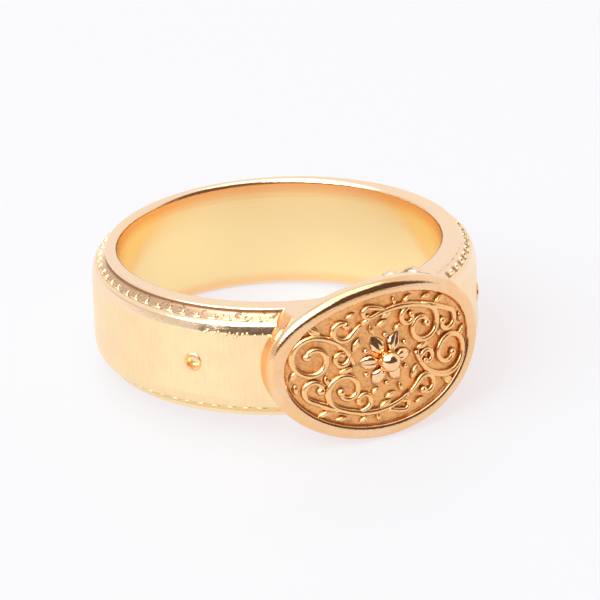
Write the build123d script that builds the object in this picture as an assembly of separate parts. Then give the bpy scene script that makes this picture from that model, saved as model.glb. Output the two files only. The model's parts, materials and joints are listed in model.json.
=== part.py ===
from build123d import *
import os
from collections import namedtuple
from math import asin, atan2, cos, degrees, hypot, radians, sin, sqrt, tan

os.makedirs("parts", exist_ok=True)

# A gold belt ring, cast and soldered into one piece. Sizes are in millimetres.
# It is modelled about the finger hole: the hole's axis is Z and the oval plate faces -Y.
# At the end the ring is tilted onto its two rests and set down on Z = 0.

# Band
FINGER_RADIUS = 9.25
BAND_WIDTH = 6.5
FRONT_WALL = 2.16
BACK_WALL = 1.26
HOLE_EDGE_ROUND = 0.3

# Stitched edge, from the plain face of the band to its flat rim
SHOULDER_RISE = 0.38
SHOULDER_DROP = 0.3
TRACK_RISE = 0.42
TRACK_DROP = 0.5
RIM_STEP = 0.14
RIM_ROUND = 0.1

# Belt holes, one each side of the plate
BELT_HOLE_ANGLE = 55.3
BELT_HOLE_RADIUS = 0.4
BELT_HOLE_DEPTH = 0.4
EYELET_WALL = 0.12
EYELET_RISE = 0.05

# Oval plate, bent about an axis parallel to the finger hole, with its edge square to its face
PLATE_WIDTH = 13.85
PLATE_HEIGHT = 9.44
PLATE_BEND = 15.1
PLATE_THICKNESS = 1.15
PLATE_SEAT = 0.16
PLATE_FRONT_ROUND = 0.35
PLATE_BACK_ROUND = 0.3
RIM_AT_SIDES = 0.98
RIM_AT_TOP = 0.86
FIELD_DEPTH = 0.32
OVAL_POINTS = 32

# Saddle that joins the plate to the band
SADDLE_WIDTH = 13.0
SADDLE_HEIGHT = 9.6
SADDLE_BITE = 0.5

# Solder knobs behind the top of the plate, sunk in its back
KNOB_SINK = 0.2

# Relief in the plate's field
RELIEF_BELOW_RIM = 0.05
RELIEF_ROOT = 0.1
STEM_WIDTH = 0.28
BERRY_RADIUS = 0.25
BERRY_LIFT = 0.02
LEAF_SLIMNESS = 0.42
BOSS_RADIUS = 0.62
BOSS_LIFT = 0.2
PETALS = 6
PETAL_START = 0.4
PETAL_LENGTH = 1.32
PETAL_WIDTH = 0.86
ROSETTE_DOME = 3.6
ROSETTE_LIFT = 0.16
DEW_RADIUS = 0.16
DEW_RING = 1.45

# What follows from the sizes above
OUTER_RADIUS = FINGER_RADIUS + (FRONT_WALL + BACK_WALL) / 2
OUTER_SHIFT = (FRONT_WALL - BACK_WALL) / 2
HALF_BAND = BAND_WIDTH / 2
EDGE_DROP = SHOULDER_DROP + TRACK_DROP + RIM_ROUND
PLATE_FRONT = FINGER_RADIUS + FRONT_WALL - PLATE_SEAT + PLATE_THICKNESS
PLATE_AXIS_Y = PLATE_BEND - PLATE_FRONT
FIELD_HALF_WIDTH = PLATE_WIDTH / 2 - RIM_AT_SIDES
FIELD_HALF_HEIGHT = PLATE_HEIGHT / 2 - RIM_AT_TOP
FIELD_BEND = PLATE_BEND - FIELD_DEPTH
RELIEF_BEND = PLATE_BEND - RELIEF_BELOW_RIM
TALL = 2 * (BAND_WIDTH + PLATE_HEIGHT)
REACH = 2 * PLATE_FRONT

# The plate is drawn in its front view, with X to the right and Z up.
FRONT_VIEW = Plane(origin=(0, 0, 0), x_dir=(1, 0, 0), z_dir=(0, -1, 0))

# A scroll is drawn as a pen moves: from a start, with a heading in degrees, along arcs of
# (radius, turn), where a positive turn is to the left. The x of a start is a share of the
# field's half width. Its z and the radii are shares of the field's half height.
Scroll = namedtuple("Scroll", "x z heading arcs")
SCROLLS = {
    "upper": Scroll(-0.247, 0.620, 30, (
        (1.17, -42), (1.40, -14), (0.274, -84), (0.240, -90), (0.196, -90), (0.145, -90), (0.10, -80))),
    "tail": Scroll(-0.247, 0.620, 210, (
        (0.559, 22), (0.156, -120), (0.128, -90), (0.095, -80))),
    "lower": Scroll(0.337, 0.0, -78, (
        (0.670, 68), (0.313, 100), (0.274, 90), (0.223, 90), (0.168, 90), (0.117, 80))),
    "corner": Scroll(0.400, 0.715, -20, (
        (4.0, -9), (0.156, -100), (0.128, -90), (0.095, -80))),
}

# A knob's x is a share of the plate's half width. Its top is a height over the plate's top.
Knob = namedtuple("Knob", "x radius top")
KNOBS = (
    Knob(0.175, 0.55, -0.12),
    Knob(0.410, 0.75, -0.42),
)

# A leaf is a pointed oval from a start, with a heading. Its length is a share as z is.
Leaf = namedtuple("Leaf", "x z heading length")
LEAVES = (
    Leaf(0.570, 0.642, 22, 0.22),
    Leaf(0.638, -0.545, -34, 0.28),
    Leaf(0.102, 0.754, 205, 0.25),
    Leaf(0.867, -0.056, 55, 0.22),
    Leaf(0.349, -0.209, -120, 0.25),
    Leaf(0.340, 0.028, 12, 0.25),
)


def outer_reach(angle):
    """Distance from the finger hole's axis to the band's face, at an angle from the plate."""
    across = OUTER_SHIFT * sin(radians(angle))
    return OUTER_SHIFT * cos(radians(angle)) + sqrt(OUTER_RADIUS**2 - across**2)


def band_blank():
    """Band before the finger hole is cut: its face, shoulders, stitch tracks and rims."""
    rim_z = HALF_BAND - RIM_ROUND
    track_top = rim_z - RIM_STEP
    track_low = track_top - TRACK_RISE
    face_top = track_low - SHOULDER_RISE
    track_outer = OUTER_RADIUS - SHOULDER_DROP
    track_inner = track_outer - TRACK_DROP
    rim_flat = track_inner - RIM_ROUND
    lean = cos(radians(45))
    shoulder_mid = (
        OUTER_RADIUS - SHOULDER_DROP * (1 - lean),
        face_top + SHOULDER_RISE * lean,
    )
    crest_mid = (rim_flat + RIM_ROUND * lean, rim_z + RIM_ROUND * lean)
    lines = Polyline((0, 0), (OUTER_RADIUS, 0), (OUTER_RADIUS, face_top))
    lines += ThreePointArc((OUTER_RADIUS, face_top), shoulder_mid, (track_outer, track_low))
    lines += Polyline((track_outer, track_low), (track_inner, track_top), (track_inner, rim_z))
    lines += ThreePointArc((track_inner, rim_z), crest_mid, (rim_flat, HALF_BAND))
    lines += Polyline((rim_flat, HALF_BAND), (0, HALF_BAND), (0, 0))
    upper = revolve(Plane.XZ * make_face(lines), Axis.Z)
    blank = upper + mirror(upper, Plane.XY)
    return Pos(0, -OUTER_SHIFT, 0) * blank


def finger_hole():
    """Finger hole, with its edges rounded over at both ends."""
    wall_top = HALF_BAND - HOLE_EDGE_ROUND
    lean = cos(radians(45))
    mouth = FINGER_RADIUS + HOLE_EDGE_ROUND
    edge_mid = (mouth - HOLE_EDGE_ROUND * lean, wall_top + HOLE_EDGE_ROUND * lean)
    lines = Polyline((0, 0), (FINGER_RADIUS, 0), (FINGER_RADIUS, wall_top))
    lines += ThreePointArc((FINGER_RADIUS, wall_top), edge_mid, (mouth, HALF_BAND))
    lines += Polyline((mouth, HALF_BAND), (mouth, TALL / 2), (0, TALL / 2), (0, 0))
    upper = revolve(Plane.XZ * make_face(lines), Axis.Z)
    return upper + mirror(upper, Plane.XY)


def belt_hole_place(side):
    """Where a belt hole opens on the face. Its Z points out of the band."""
    angle = side * BELT_HOLE_ANGLE
    out = Vector(sin(radians(angle)), -cos(radians(angle)), 0)
    return Plane(origin=out * outer_reach(angle), x_dir=(0, 0, 1), z_dir=out)


def eyelet(side):
    """Raised lip round a belt hole."""
    height = EYELET_RISE + BELT_HOLE_DEPTH
    lip = Cylinder(BELT_HOLE_RADIUS + EYELET_WALL, height)
    return belt_hole_place(side) * Pos(0, 0, EYELET_RISE - height / 2) * lip


def belt_hole(side):
    """Blind belt hole, with a rounded floor."""
    drill = Pos(0, 0, BELT_HOLE_RADIUS / 2) * Cylinder(BELT_HOLE_RADIUS, BELT_HOLE_RADIUS)
    drill += Sphere(BELT_HOLE_RADIUS)
    return belt_hole_place(side) * Pos(0, 0, BELT_HOLE_RADIUS - BELT_HOLE_DEPTH) * drill


def bent_layer(inner, outer):
    """Layer between two radii about the axis that the plate is bent about."""
    layer = Cylinder(outer, TALL) - Cylinder(inner, TALL)
    return Pos(0, PLATE_AXIS_Y, 0) * layer


def through_front(sketch):
    """Prism of a front-view sketch that runs through the whole front of the ring."""
    return extrude(FRONT_VIEW * sketch, REACH)


def bead(radius):
    """Ball with its poles in front and behind, so that only smooth sides meet the metal."""
    return Rot(90, 0, 0) * Sphere(radius)


def on_plate(x, z, lift):
    """Point of the plate's front view, at a height over the rim's bent surface."""
    reach = PLATE_BEND + lift
    return Pos(x, PLATE_AXIS_Y - sqrt(reach**2 - x**2), z)


def oval_block(half_width, half_height):
    """Block that is an oval on the plate's face. Its wall is square to the face all round."""
    outlines = []
    for reach in (PLATE_BEND / 2, PLATE_BEND * 2):
        points = []
        for number in range(OVAL_POINTS):
            turn = radians(360 * number / OVAL_POINTS)
            bend = asin(half_width / PLATE_BEND) * cos(turn)
            points.append((reach * tan(bend), half_height * sin(turn)))
        outline = make_face(Spline(*points, periodic=True))
        outlines.append(FRONT_VIEW.offset(reach - PLATE_AXIS_Y) * outline)
    return loft(outlines, ruled=True)


def plate_edges(body):
    """The loops that run round the plate, from its front to its back."""
    loops = body.edges().filter_by(lambda edge: edge.length > PLATE_WIDTH)
    return loops.sort_by(lambda edge: edge.center(CenterOf.MASS).Y)


def plate_body():
    """Oval plate with rounded edges."""
    layer = bent_layer(PLATE_BEND - PLATE_THICKNESS, PLATE_BEND)
    body = oval_block(PLATE_WIDTH / 2, PLATE_HEIGHT / 2) & layer
    body = fillet(plate_edges(body)[0], PLATE_FRONT_ROUND)
    return fillet(plate_edges(body)[-1], PLATE_BACK_ROUND)


def plate_field():
    """Sunken field inside the plate's rim."""
    layer = bent_layer(FIELD_BEND, PLATE_BEND + FIELD_DEPTH)
    return oval_block(FIELD_HALF_WIDTH, FIELD_HALF_HEIGHT) & layer


def saddle():
    """Oval seat that fills the space between the band's face and the plate's back."""
    oval = Ellipse(SADDLE_WIDTH / 2, SADDLE_HEIGHT / 2)
    block = through_front(oval) & Box(2 * REACH, 2 * REACH, BAND_WIDTH)
    reach = PLATE_BEND - PLATE_THICKNESS + SADDLE_BITE
    return block & (Pos(0, PLATE_AXIS_Y, 0) * Cylinder(reach, TALL))


def knob(row):
    """Rounded solder knob between the rim and the plate's back."""
    x = row.x * PLATE_WIDTH / 2
    z = PLATE_HEIGHT / 2 + row.top - row.radius
    return on_plate(x, z, KNOB_SINK - row.radius - PLATE_THICKNESS) * bead(row.radius)


def scroll_path(scroll):
    """Centre line of a scroll in the front view, as arcs that meet smoothly."""
    start = Vector(scroll.x * FIELD_HALF_WIDTH, scroll.z * FIELD_HALF_HEIGHT)
    heading = Vector(1, 0).rotate(Axis.Z, scroll.heading)
    arcs = []
    for radius, turn in scroll.arcs:
        arc = JernArc(start, heading, radius * FIELD_HALF_HEIGHT, turn)
        arcs.append(arc)
        start = arc @ 1
        heading = arc % 1
    return arcs, start


def leaf_sketch(length, width):
    """Pointed oval that lies along X from the origin."""
    tip = (length, 0)
    edge = ThreePointArc((0, 0), (length / 2, width / 2), tip)
    edge += ThreePointArc(tip, (length / 2, -width / 2), (0, 0))
    return make_face(edge)


def vine():
    """Stems and leaves of both halves. The left half is the right half, half a turn on."""
    layer = bent_layer(FIELD_BEND - RELIEF_ROOT, RELIEF_BEND)
    pieces = []
    for half_turn in (0, 180):
        for scroll in SCROLLS.values():
            arcs, _ = scroll_path(scroll)
            stem = SlotArc(Wire(arcs), STEM_WIDTH)
            pieces.append(through_front(Rot(0, 0, half_turn) * stem) & layer)
        for leaf in LEAVES:
            length = leaf.length * FIELD_HALF_HEIGHT
            place = Pos(leaf.x * FIELD_HALF_WIDTH, leaf.z * FIELD_HALF_HEIGHT)
            blade = place * Rot(0, 0, leaf.heading) * leaf_sketch(length, LEAF_SLIMNESS * length)
            pieces.append(through_front(Rot(0, 0, half_turn) * blade) & layer)
    return pieces


def berries():
    """Round berry at the inner end of each scroll."""
    pieces = []
    for side in (1, -1):
        for scroll in SCROLLS.values():
            _, end = scroll_path(scroll)
            place = on_plate(side * end.X, side * end.Y, BERRY_LIFT - BERRY_RADIUS)
            pieces.append(place * bead(BERRY_RADIUS))
    return pieces


def rosette():
    """Petals round the boss, cut from one low dome, with a bead of dew between each two."""
    top = PLATE_FRONT + ROSETTE_LIFT
    dome = Pos(0, ROSETTE_DOME - top, 0) * Sphere(ROSETTE_DOME)
    layer = bent_layer(FIELD_BEND - RELIEF_ROOT, PLATE_BEND + ROSETTE_DOME)
    pieces = []
    for number in range(PETALS):
        turn = 360 * number / PETALS
        petal = Rot(0, 0, turn) * Pos(PETAL_START, 0) * leaf_sketch(PETAL_LENGTH, PETAL_WIDTH)
        pieces.append(through_front(petal) & dome & layer)
        between = radians(turn + 180 / PETALS)
        x = DEW_RING * cos(between)
        z = DEW_RING * sin(between)
        pieces.append(on_plate(x, z, DEW_RADIUS / 2 - FIELD_DEPTH) * bead(DEW_RADIUS))
    return pieces


def boss():
    """Ball at the middle of the rosette."""
    return Pos(0, -PLATE_FRONT - BOSS_LIFT, 0) * bead(BOSS_RADIUS)


def belt_ring():
    """The whole ring as one solid, about the finger hole."""
    ring = band_blank() + saddle() + [knob(row) for row in KNOBS]
    ring += [eyelet(side) for side in (-1, 1)]
    ring -= [belt_hole(side) for side in (-1, 1)]
    ring -= finger_hole()
    ring += plate_body()
    ring -= plate_field()
    ring += vine() + berries() + rosette() + [boss()]
    return ring


def rest_tilt():
    """Angle that the ring leans back by, when the plate's lower edge and the band's rear rim
    are both on the surface. Each of the two is a small round, seen from the side."""
    plate_y = -PLATE_FRONT + PLATE_THICKNESS - PLATE_BACK_ROUND
    plate_z = -PLATE_HEIGHT / 2 + PLATE_BACK_ROUND
    rear_y = FINGER_RADIUS + BACK_WALL - EDGE_DROP
    rear_z = -HALF_BAND + RIM_ROUND
    rise = plate_z - rear_z
    run = rear_y - plate_y
    reach = hypot(rise, run)
    return degrees(asin((PLATE_BACK_ROUND - RIM_ROUND) / reach) - atan2(rise, run))


ring = Rot(-rest_tilt(), 0, 0) * belt_ring()
box = ring.bounding_box()
set_down = Pos(-box.center().X, -box.center().Y, -box.min.Z)
ring = set_down * ring
export_step(ring, "parts/belt_ring.step")
print("solids", len(ring.solids()), "volume", ring.volume, "tilt", rest_tilt())
print("size", ring.bounding_box().size)
print("finger hole's centre", set_down.position)
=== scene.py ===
import json
from collections import namedtuple
from math import asin, atan2, ceil, copysign, cos, exp, pi, radians, sin, sqrt, tau
from random import Random

import bmesh
import bpy
from bpy.props import FloatProperty, FloatVectorProperty, IntProperty, PointerProperty
from mathutils import Matrix, Vector, noise


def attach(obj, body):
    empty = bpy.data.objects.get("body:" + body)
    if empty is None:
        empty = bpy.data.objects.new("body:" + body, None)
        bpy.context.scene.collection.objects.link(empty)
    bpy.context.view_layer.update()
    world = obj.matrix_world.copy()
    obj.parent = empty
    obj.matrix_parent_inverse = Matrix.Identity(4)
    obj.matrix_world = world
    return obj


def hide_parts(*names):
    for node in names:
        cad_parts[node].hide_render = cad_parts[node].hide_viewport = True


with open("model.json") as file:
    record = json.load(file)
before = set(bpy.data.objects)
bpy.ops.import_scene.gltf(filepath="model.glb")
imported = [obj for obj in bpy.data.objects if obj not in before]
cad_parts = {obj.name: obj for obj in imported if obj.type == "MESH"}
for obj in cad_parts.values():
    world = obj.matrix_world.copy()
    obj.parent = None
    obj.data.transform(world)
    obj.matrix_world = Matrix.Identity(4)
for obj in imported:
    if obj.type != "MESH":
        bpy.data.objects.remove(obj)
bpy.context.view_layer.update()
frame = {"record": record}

bl_info = {
    "name": "Gold belt ring",
    "version": (1, 0, 0),
    "blender": (4, 5, 0),
    "location": "3D View > Sidebar > Belt ring",
    "description": "Makes a gold belt ring with stitched edges and an oval plate of scrollwork",
    "category": "Add Mesh",
}

# The ring is made in millimetres about its finger hole: the hole's axis is Z and the oval plate
# faces -Y. Each finished piece is then tilted and set down as the solid is.
MM = 0.001
HOLE = frame["record"]["mounts"][0]
LEAN = -atan2(HOLE["axis"][1], HOLE["axis"][2])
PLACE = Matrix.Translation(HOLE["pos_m"]) @ Matrix.Rotation(LEAN, 4, "X") @ Matrix.Scale(MM, 4)

TO_VIEWER = (0, -1, 0)
UP = (0, 0, 1)

# Turns that bring Z to the viewer, and Z along X
FACING = Matrix.Rotation(pi / 2, 4, "X")
LYING = Matrix.Rotation(pi / 2, 4, "Y")

# A scroll is drawn as a pen moves: from a start, with a heading in degrees, along arcs of
# (radius, turn), where a positive turn is to the left. The x of a start is a share of the
# field's half width. Its z and the radii are shares of the field's half height.
Scroll = namedtuple("Scroll", "x z heading arcs")
SCROLLS = {
    "upper": Scroll(-0.247, 0.620, 30, (
        (1.17, -42), (1.40, -14), (0.274, -84), (0.240, -90), (0.196, -90), (0.145, -90),
        (0.10, -80))),
    "tail": Scroll(-0.247, 0.620, 210, (
        (0.559, 22), (0.156, -120), (0.128, -90), (0.095, -80))),
    "lower": Scroll(0.337, 0.0, -78, (
        (0.670, 68), (0.313, 100), (0.274, 90), (0.223, 90), (0.168, 90), (0.117, 80))),
    "corner": Scroll(0.400, 0.715, -20, (
        (4.0, -9), (0.156, -100), (0.128, -90), (0.095, -80))),
}
TENDRILS = {
    "inner": Scroll(0.300, 0.742, 198, ((0.9, 8), (0.120, 115), (0.095, 90), (0.070, 80))),
    "middle": Scroll(0.372, -0.185, 78, (
        (0.3, -20), (0.105, -130), (0.085, -90), (0.060, -70))),
    "crest": Scroll(0.000, 0.775, 150, ((0.7, 22), (0.085, 110), (0.065, 85))),
}

# A leaf is a pointed oval from a start, with a heading. Its length is a share as z is.
Leaf = namedtuple("Leaf", "x z heading length")
LEAVES = (
    Leaf(0.570, 0.642, 22, 0.22),
    Leaf(0.638, -0.545, -34, 0.28),
    Leaf(0.102, 0.754, 205, 0.25),
    Leaf(0.867, -0.056, 55, 0.22),
    Leaf(0.349, -0.209, -120, 0.25),
    Leaf(0.340, 0.028, 12, 0.25),
)
SMALL_LEAVES = (
    Leaf(0.620, 0.085, 100, 0.18),
    Leaf(0.420, 0.790, 4, 0.19),
    Leaf(0.090, 0.400, 40, 0.17),
    Leaf(0.200, 0.810, 30, 0.19),
    Leaf(0.030, 0.610, 200, 0.21),
    Leaf(0.905, 0.170, 96, 0.18),
    Leaf(-0.165, 0.580, -72, 0.18),
    Leaf(-0.300, 0.815, 200, 0.18),
    Leaf(0.115, 0.800, 100, 0.15),
)

# A knob's x is a share of the plate's half width. Its top is a height over the plate's top.
Knob = namedtuple("Knob", "x radius top")
KNOBS = (Knob(0.175, 0.55, -0.12), Knob(0.410, 0.75, -0.42))


def length(name, description, millimetres):
    """Size that a user can change."""
    return FloatProperty(
        name=name, description=description, default=millimetres * MM, min=0.0, unit="LENGTH",
        precision=5,
    )


def degrees(name, description, value):
    """Angle that a user can change."""
    return FloatProperty(name=name, description=description, default=radians(value), subtype="ANGLE")


def amount(name, description, value):
    """Strength that a user can change."""
    return FloatProperty(name=name, description=description, default=value, min=0.0)


def colour(name, description, rgb):
    """Colour that a user can change."""
    return FloatVectorProperty(
        name=name, description=description, default=rgb, size=3, min=0.0, max=1.0, subtype="COLOR"
    )


class BandSizes(bpy.types.PropertyGroup):
    """Sizes of the band and of its stitched edges."""

    finger_radius: length("Finger radius", "Radius of the finger hole", 9.25)
    width: length("Width", "Width of the band", 6.5)
    front_wall: length("Front wall", "Wall behind the plate", 2.16)
    back_wall: length("Back wall", "Wall opposite the plate", 1.26)
    hole_round: length("Hole edge", "Rounding of the finger hole's edges", 0.3)
    shoulder: length("Shoulder", "Distance from the face in to the foot of the track", 0.335)
    bevel_rise: length("Bevel rise", "Height of the bevel above the face", 0.55)
    bevel_drop: length("Bevel drop", "How far the bevel leans in", 0.16)
    ridge_rise: length("Ridge rise", "Height from the bevel to the foot of the track", 0.09)
    ridge_round: length("Ridge round", "Rounding of the ridge over the bevel", 0.11)
    track_rise: length("Track rise", "Height of the sloping stitch track", 0.42)
    track_drop: length("Track drop", "Distance from the face to the top of the track", 0.8)
    rim_step: length("Rim step", "Step from the track up to the flat rim", 0.14)
    rim_round: length("Rim round", "Rounding of the rim's outer edge", 0.1)


class StitchSizes(bpy.types.PropertyGroup):
    """Sizes of the raised stitches."""

    pitch: length("Pitch", "Distance from one stitch to the next", 0.93)
    dash: length("Dash", "Length of the dash along the track", 0.66)
    thread: length("Thread", "Radius of the raised thread", 0.085)
    lower_thread: length("Lower thread", "Radius of the more worn thread below", 0.055)
    tick: length("Tick", "Length of the tick that climbs the track", 0.34)
    clear: degrees("Clear of the plate", "Angle each side of the plate without stitches", 34)


class WearSizes(bpy.types.PropertyGroup):
    """Sizes of the nicks and grains along the bevel beside the plate."""

    depth: length("Nick depth", "How far a nick shifts the bevel's foot", 0.17)
    reach: length("Reach", "How far above and below the foot the metal shifts", 0.07)
    grain: length("Grain", "Largest radius of a grain of gold", 0.1)
    centre: degrees("Centre", "Angle from the plate to the middle of the worn part", 39)
    spread: degrees("Spread", "Angle over which the wear fades", 13)
    grains: IntProperty(name="Grains", description="Number of grains", default=20, min=0)


class EyeletSizes(bpy.types.PropertyGroup):
    """Sizes of the belt holes."""

    angle: degrees("Angle", "Angle from the plate to each belt hole", 55.3)
    radius: length("Radius", "Radius of the hole", 0.4)
    depth: length("Depth", "Depth of the hole", 0.4)
    lip: length("Lip", "Width of the raised lip", 0.12)
    rise: length("Rise", "Height of the lip over the face", 0.05)


class PlateSizes(bpy.types.PropertyGroup):
    """Sizes of the oval plate and of what carries it."""

    width: length("Width", "Width in the front view", 13.85)
    height: length("Height", "Height of the oval", 9.44)
    bend: length("Bend", "Radius that the face is bent to", 15.1)
    thickness: length("Thickness", "Thickness at the rim", 1.15)
    seat: length("Seat", "How far the plate sinks into the band", 0.16)
    front_round: length("Front round", "Rounding of the front edge", 0.52)
    back_round: length("Back round", "Rounding of the back edge", 0.3)
    rim_sides: length("Rim at the sides", "Width of the rim left and right", 0.98)
    rim_top: length("Rim at the top", "Width of the rim above and below", 0.86)
    lip_round: length("Lip round", "Rounding of the rim's inner edge", 0.2)
    field_depth: length("Field depth", "Depth of the sunken field", 0.32)
    saddle_width: length("Saddle width", "Width of the seat behind the plate", 13.0)
    saddle_height: length("Saddle height", "Height of the oval that the seat is cut from", 9.6)
    saddle_bite: length("Saddle bite", "How far the seat reaches into the plate", 0.5)
    knob_sink: length("Knob sink", "How far a solder knob sinks into the plate's back", 0.2)


class ReliefSizes(bpy.types.PropertyGroup):
    """Sizes of the raised scrollwork and the rosette."""

    below_rim: length("Below rim", "How far the scrollwork stays under the rim", 0.05)
    root: length("Root", "How far the relief reaches under the field", 0.1)
    stem: length("Stem", "Width of a stem", 0.33)
    tendril: length("Tendril", "Width of a tendril", 0.27)
    berry: length("Berry", "Radius of a berry", 0.25)
    small_berry: length("Small berry", "Radius of the berry that ends a tendril", 0.19)
    berry_lift: length("Berry lift", "How far a berry stands over the rim", 0.02)
    boss: length("Boss", "Radius of the ball in the middle", 0.62)
    boss_lift: length("Boss lift", "How far the ball's centre stands over the rim", 0.2)
    petal_start: length("Petal start", "Distance from the middle to a petal", 0.4)
    petal_length: length("Petal length", "Length of a petal", 1.32)
    petal_width: length("Petal width", "Width of a petal", 0.86)
    dome: length("Dome", "Radius of the dome that the petals lie on", 3.6)
    dome_lift: length("Dome lift", "Height of the dome over the rim", 0.16)
    dew: length("Dew", "Radius of a bead between two petals", 0.16)
    dew_ring: length("Dew ring", "Distance from the middle to those beads", 1.45)
    petals: IntProperty(name="Petals", description="Number of petals", default=6, min=3, max=12)


class Finishes(bpy.types.PropertyGroup):
    """Colours of the gold, of what has settled in it, and of the shade and reflection painted into
    it.
    """

    face: colour("Face", "Finely brushed face", (1.0, 0.785, 0.445))
    streak: colour("Streaks", "Brush marks on the face", (1.0, 0.69, 0.42))
    rim: colour("Rim", "Polished rims of the band", (1.0, 0.74, 0.52))
    plate_rim: colour("Plate rim", "Polished rim of the oval plate", (0.95, 0.58, 0.29))
    # Painted shade: this tint browns only the upper left of the front of the track
    track: colour("Track", "Bottom of the stitch tracks", (0.64, 0.43, 0.28))
    wall: colour("Finger hole", "Wall of the finger hole", (1.0, 0.775, 0.40))
    eyelet: colour("Eyelet", "Lip of a belt hole", (0.96, 0.52, 0.24))
    field: colour("Field", "Sunken field behind the scrollwork", (0.95, 0.48, 0.18))
    relief: colour("Relief", "Scrollwork", (1.0, 0.61, 0.28))
    rosette: colour("Rosette", "Petals, dew and boss", (1.0, 0.655, 0.36))
    # Also painted shade: it darkens the track's corner and gaps and the roots of the relief
    patina: colour("Patina", "Brown film in corners and pits", (0.24, 0.10, 0.035))


class StudioSettings(bpy.types.PropertyGroup):
    """Floor and light of the stage."""

    floor: colour("Floor", "Plain pale floor", (0.075, 0.12, 0.13))
    glow: colour("Floor glow", "Light that comes up through the floor", (0.785, 0.703, 0.706))
    sky: colour("Sky", "Pale surroundings", (1.0, 0.985, 0.98))
    dark: colour("Dark side", "Dim part of the room, behind the camera", (0.13, 0.09, 0.07))
    sky_strength: amount("Sky strength", "Brightness of the pale surroundings", 0.95)
    overhead: amount("Overhead panel", "Added brightness straight above", 1.4)
    left_panel: amount("Left panel", "Added brightness of the panel at the upper left", 2.0)
    key_strength: amount("Key light", "Power of the soft light at the upper left, in watts", 5.0)


class Millimetres:
    """Reads a property group's lengths in millimetres. Counts, angles and colours stay."""

    def __init__(self, group):
        self.group = group

    def __getattr__(self, name):
        value = getattr(self.group, name)
        is_length = self.group.bl_rna.properties[name].unit == "LENGTH"
        return value / MM if is_length else value


def sizes_of(context, *names):
    """The property groups of those names, read in millimetres."""
    return [Millimetres(getattr(context.scene, "belt_ring_" + name)) for name in names]


class Socket:
    """Output of a shader node. Arithmetic on it adds Math nodes."""

    def __init__(self, shader, output):
        self.shader = shader
        self.output = output

    def __add__(self, other):
        return self.shader.math("ADD", self, other)

    def __sub__(self, other):
        return self.shader.math("SUBTRACT", self, other)

    def __rsub__(self, other):
        return self.shader.math("SUBTRACT", other, self)

    def __mul__(self, other):
        return self.shader.math("MULTIPLY", self, other)

    def __truediv__(self, other):
        return self.shader.math("DIVIDE", self, other)

    def __rtruediv__(self, other):
        return self.shader.math("DIVIDE", other, self)

    __radd__ = __add__
    __rmul__ = __mul__


class Shader:
    """Node tree of a material or of the sky. Its node method adds any node."""

    def __init__(self, owner):
        owner.use_nodes = True
        self.owner = owner
        self.tree = owner.node_tree

    def node(self, kind, inputs=(), output=0, **settings):
        made = self.tree.nodes.new("ShaderNode" + kind)
        for name, value in settings.items():
            setattr(made, name, value)
        for key, value in dict(inputs).items():
            self.feed(made.inputs[key], value)
        return Socket(self, made.outputs[output])

    def feed(self, socket, value):
        if isinstance(value, Socket):
            self.tree.links.new(value.output, socket)
        else:
            socket.default_value = value

    def math(self, operation, *values):
        return self.node("Math", dict(enumerate(values)), operation=operation)

    def step(self, value, low, high):
        """Rises smoothly from 0 at low to 1 at high."""
        inputs = {"Value": value, "From Min": low, "From Max": high}
        return self.node("MapRange", inputs, interpolation_type="SMOOTHSTEP")

    def noise(self, point, scale, detail=2.0, roughness=0.5):
        """Noise from 0 to 1, with scale in bumps per millimetre."""
        inputs = {"Vector": point, "Scale": scale, "Detail": detail, "Roughness": roughness}
        return self.node("TexNoise", inputs)

    def mix(self, share, first, second):
        """Colour between two."""
        inputs = {0: share, 6: opaque(first), 7: opaque(second)}
        return self.node("Mix", inputs, 2, data_type="RGBA")

    def point(self):
        """Place on the ring in millimetres about the finger hole, as the pieces are made."""
        place = self.node("TexCoord", output="Object")
        pose = {"Location": HOLE["pos_m"], "Rotation": (LEAN, 0, 0), "Scale": (MM, MM, MM)}
        return self.node("Mapping", {"Vector": place, **pose}, vector_type="TEXTURE")

    def parts(self, vector):
        """The x, y and z of a vector."""
        split = self.node("SeparateXYZ", {"Vector": vector})
        return [Socket(self, output) for output in split.output.node.outputs]

    def join(self, x, y, z):
        """Vector of three values."""
        return self.node("CombineXYZ", {"X": x, "Y": y, "Z": z})


def opaque(value):
    """Colour with its fourth value, as sockets want it."""
    return value if isinstance(value, Socket) else (*value, 1.0)


def finish_gold(shader, tint, roughness, bump, depth):
    """Sets the gold's surface and returns its material. The bump's depth is in millimetres."""
    surface = shader.tree.nodes["Principled BSDF"].inputs
    surface["Metallic"].default_value = 1.0
    height = shader.node("Bump", {"Height": bump, "Strength": 1.0, "Distance": depth * MM})
    shader.feed(surface["Base Color"], tint)
    shader.feed(surface["Roughness"], roughness)
    shader.feed(surface["Normal"], height)
    return shader.owner


def new_gold(name):
    """Shader of a new material, and the place on the ring that its patterns follow."""
    shader = Shader(bpy.data.materials.new(name))
    return shader, shader.point()


def brushed_face_gold(finishes):
    """Satin gold of the band's face, with fine upright brush marks."""
    shader, point = new_gold("brushed face gold")
    x, y, z = shader.parts(point)
    around = shader.math("ARCTAN2", x, 0 - y)
    streaks = shader.noise(shader.join(around * 70, z * 0.7, 0.0), 1.0, 3.0, 0.6)
    blotches = shader.noise(shader.join(around * 7, z * 0.5, 3.0), 1.0)
    share = shader.step(streaks, 0.38, 0.68) * 0.45 + shader.step(blotches, 0.35, 0.7) * 0.4
    tint = shader.mix(share, finishes.face, finishes.streak)
    return finish_gold(shader, tint, 0.24 + streaks * 0.12, streaks, 0.004)


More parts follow.
